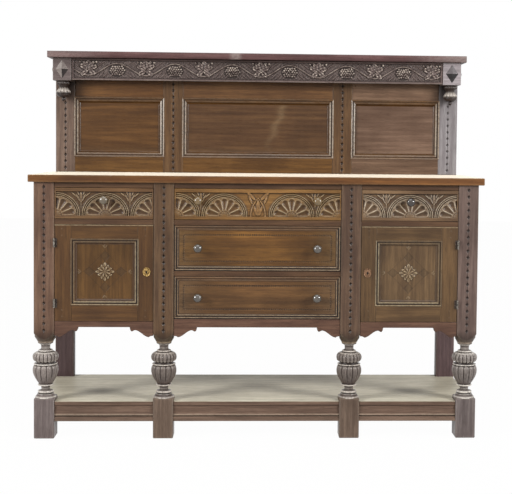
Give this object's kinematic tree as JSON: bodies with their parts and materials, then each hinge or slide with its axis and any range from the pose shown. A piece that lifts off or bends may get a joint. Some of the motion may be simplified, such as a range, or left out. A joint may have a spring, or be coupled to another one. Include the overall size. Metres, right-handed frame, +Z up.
{
  "type": "sideboard",
  "caption": "Dark oak Jacobean revival sideboard with turned bulbous legs, low shelf, carved frieze drawers, panelled cupboards and a panelled gallery back under a carved canopy.",
  "frame": {"origin": "on the floor, under the middle of the whole object", "axes": "+X to the viewer's right along the front, +Y from the front to the back, +Z up"},
  "size_m": [1.676, 0.5254, 1.4549],
  "materials": {
    "dark_oak": "waxed dark oak, worn on the edges",
    "warm_oak": "polished warm brown oak",
    "plain_oak": "unpolished oak",
    "worn_oak": "worn greyish oak",
    "knob_oak": "turned and polished oak",
    "brass": "aged brass",
    "steel": "aged steel"
  },
  "bodies": {
    "carcase": {"front_post_left_outer": "dark_oak", "front_post_left_inner": "dark_oak", "front_post_right_inner": "dark_oak", "front_post_right_outer": "dark_oak", "back_post_left": "dark_oak", "back_post_right": "dark_oak", "stretcher_front_left": "dark_oak", "stretcher_front_centre": "dark_oak", "stretcher_front_right": "dark_oak", "stretcher_side_left": "dark_oak", "stretcher_side_right": "dark_oak", "stretcher_back": "dark_oak", "apron_left": "dark_oak", "apron_centre": "dark_oak", "apron_right": "dark_oak", "side_panel_left": "dark_oak", "side_panel_right": "dark_oak", "carcase_bottom": "dark_oak", "frieze_shelf": "dark_oak", "carcase_top": "dark_oak", "worktop": "dark_oak", "gallery_frame": "dark_oak", "canopy_top": "dark_oak", "canopy_frieze": "dark_oak", "canopy_block_left": "dark_oak", "canopy_block_right": "dark_oak", "carcase_back": "plain_oak", "drawer_housing": "plain_oak", "potboard": "worn_oak", "gallery_panel": "warm_oak", "hinge_left_lower": "steel", "hinge_left_upper": "steel", "hinge_right_lower": "steel", "hinge_right_upper": "steel"},
    "door_left": {"door_frame_left": "dark_oak", "door_panel_left": "warm_oak", "lock_case_left": "brass"},
    "lock_bolt_left": {"lock_bolt_left": "steel"},
    "door_right": {"door_frame_right": "dark_oak", "door_panel_right": "warm_oak", "lock_case_right": "brass"},
    "lock_bolt_right": {"lock_bolt_right": "steel"},
    "drawer_frieze_left": {"drawer_frieze_left_front": "dark_oak", "drawer_frieze_left_box": "plain_oak", "drawer_frieze_left_knob": "knob_oak"},
    "drawer_frieze_centre": {"drawer_frieze_centre_front": "dark_oak", "drawer_frieze_centre_box": "plain_oak", "drawer_frieze_centre_knob_left": "knob_oak", "drawer_frieze_centre_knob_right": "knob_oak"},
    "drawer_frieze_right": {"drawer_frieze_right_front": "dark_oak", "drawer_frieze_right_box": "plain_oak", "drawer_frieze_right_knob": "knob_oak"},
    "drawer_upper": {"drawer_upper_front": "warm_oak", "drawer_upper_box": "plain_oak", "drawer_upper_knob_left": "knob_oak", "drawer_upper_knob_right": "knob_oak"},
    "drawer_lower": {"drawer_lower_front": "warm_oak", "drawer_lower_box": "plain_oak", "drawer_lower_knob_left": "knob_oak", "drawer_lower_knob_right": "knob_oak"}
  },
  "joints": [
    {"name": "door_left_hinge", "type": "hinge", "parent": "carcase", "child": "door_left", "pos_m": [-0.7443, -0.23935, 0.435], "axis": [0, 0, -1], "range_deg": [0, 170]},
    {"name": "lock_bolt_left_slide", "type": "slide", "parent": "door_left", "child": "lock_bolt_left", "axis": [1, 0, 0], "range_m": [0, 0.0105]},
    {"name": "door_right_hinge", "type": "hinge", "parent": "carcase", "child": "door_right", "pos_m": [0.7443, -0.23935, 0.435], "axis": [0, 0, 1], "range_deg": [0, 170]},
    {"name": "lock_bolt_right_slide", "type": "slide", "parent": "door_right", "child": "lock_bolt_right", "axis": [-1, 0, 0], "range_m": [0, 0.0105]},
    {"name": "drawer_frieze_left_slide", "type": "slide", "parent": "carcase", "child": "drawer_frieze_left", "axis": [0, -1, 0], "range_m": [0, 0.32]},
    {"name": "drawer_frieze_centre_slide", "type": "slide", "parent": "carcase", "child": "drawer_frieze_centre", "axis": [0, -1, 0], "range_m": [0, 0.32]},
    {"name": "drawer_frieze_right_slide", "type": "slide", "parent": "carcase", "child": "drawer_frieze_right", "axis": [0, -1, 0], "range_m": [0, 0.32]},
    {"name": "drawer_upper_slide", "type": "slide", "parent": "carcase", "child": "drawer_upper", "axis": [0, -1, 0], "range_m": [0, 0.32]},
    {"name": "drawer_lower_slide", "type": "slide", "parent": "carcase", "child": "drawer_lower", "axis": [0, -1, 0], "range_m": [0, 0.32]}
  ]
}
